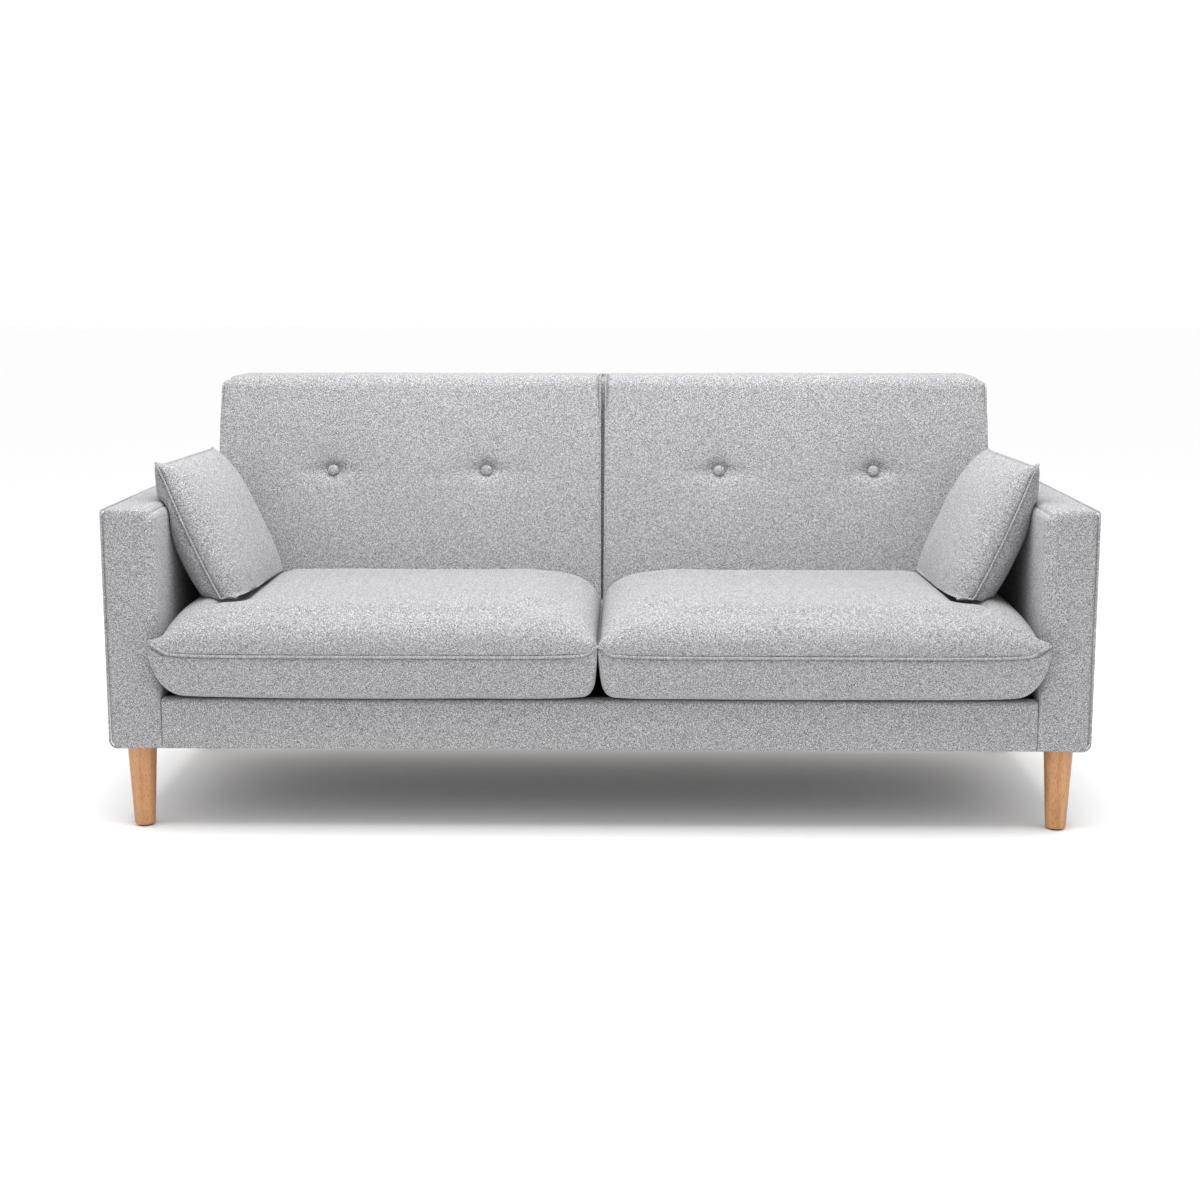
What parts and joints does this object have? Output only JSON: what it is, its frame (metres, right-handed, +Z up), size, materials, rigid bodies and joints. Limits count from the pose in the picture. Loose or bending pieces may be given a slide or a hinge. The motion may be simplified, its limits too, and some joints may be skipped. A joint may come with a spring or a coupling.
{
  "type": "sofa",
  "caption": "Upholstered sofa with slim square arms, buttoned split back, loose seat cushions, throw pillows and round tapered wooden legs.",
  "frame": {"origin": "on the floor, at the centre of the outline seen from above", "axes": "+X across the sofa to its left arm as one sits, which is the right-hand side seen from the front; -Y is the front; +Z is up"},
  "size_m": [2, 0.8495, 0.9],
  "materials": {
    "upholstery": "matte",
    "legs": "satin",
    "frame_wood": "matte",
    "board": "matte",
    "foam": "matte",
    "filling": "matte",
    "lining": "matte",
    "webbing": "matte",
    "zip": "matte",
    "fittings": "satin",
    "glides": "matte"
  },
  "bodies": {
    "sofa": {"arm_bolts": "fittings", "arm_bottom_rail_left": "frame_wood", "arm_bottom_rail_right": "frame_wood", "arm_cover_left": "upholstery", "arm_cover_right": "upholstery", "arm_foam_left": "foam", "arm_foam_right": "foam", "arm_front_post_left": "frame_wood", "arm_front_post_right": "frame_wood", "arm_panels_left": "board", "arm_panels_right": "board", "arm_rear_post_left": "frame_wood", "arm_rear_post_right": "frame_wood", "arm_top_rail_left": "frame_wood", "arm_top_rail_right": "frame_wood", "back_buttons": "upholstery", "back_cover_left": "upholstery", "back_cover_right": "upholstery", "back_lower_rail": "frame_wood", "back_pad_left": "foam", "back_pad_right": "foam", "back_post_centre": "frame_wood", "back_post_left": "frame_wood", "back_post_right": "frame_wood", "back_top_rail": "frame_wood", "back_webbing": "webbing", "border_cover": "upholstery", "border_foam": "foam", "button_toggles": "frame_wood", "button_twine": "webbing", "deck_cloth": "lining", "deck_pad": "foam", "dust_cover": "lining", "leg_front_left": "legs", "leg_front_right": "legs", "leg_glides": "glides", "leg_hanger_bolts": "fittings", "leg_rear_left": "legs", "leg_rear_right": "legs", "leg_threaded_inserts": "fittings", "outer_back_cover": "upholstery", "outer_back_panel": "board", "seat_centre_rail": "frame_wood", "seat_corner_blocks": "frame_wood", "seat_end_rail_left": "frame_wood", "seat_end_rail_right": "frame_wood", "seat_front_rail": "frame_wood", "seat_rear_rail": "frame_wood", "seat_springs": "fittings", "spring_clips": "fittings"},
    "throw_pillow_left": {"pillow_cover_left": "upholstery", "pillow_filling_left": "filling"},
    "throw_pillow_right": {"pillow_cover_right": "upholstery", "pillow_filling_right": "filling"},
    "seat_cushion_left": {"seat_cushion_core_left": "foam", "seat_cushion_cover_left": "upholstery", "seat_cushion_zip_left": "zip"},
    "seat_cushion_right": {"seat_cushion_core_right": "foam", "seat_cushion_cover_right": "upholstery", "seat_cushion_zip_right": "zip"}
  },
  "joints": [
    {"name": "seat_cushion_left_lift", "type": "slide", "parent": "sofa", "child": "seat_cushion_left", "axis": [0, 0, 1], "range_m": [0, 0.35]},
    {"name": "throw_pillow_left_lift", "type": "slide", "parent": "seat_cushion_left", "child": "throw_pillow_left", "axis": [0, 0, 1], "range_m": [0, 0.3]},
    {"name": "seat_cushion_right_lift", "type": "slide", "parent": "sofa", "child": "seat_cushion_right", "axis": [0, 0, 1], "range_m": [0, 0.35]},
    {"name": "throw_pillow_right_lift", "type": "slide", "parent": "seat_cushion_right", "child": "throw_pillow_right", "axis": [0, 0, 1], "range_m": [0, 0.3]}
  ]
}
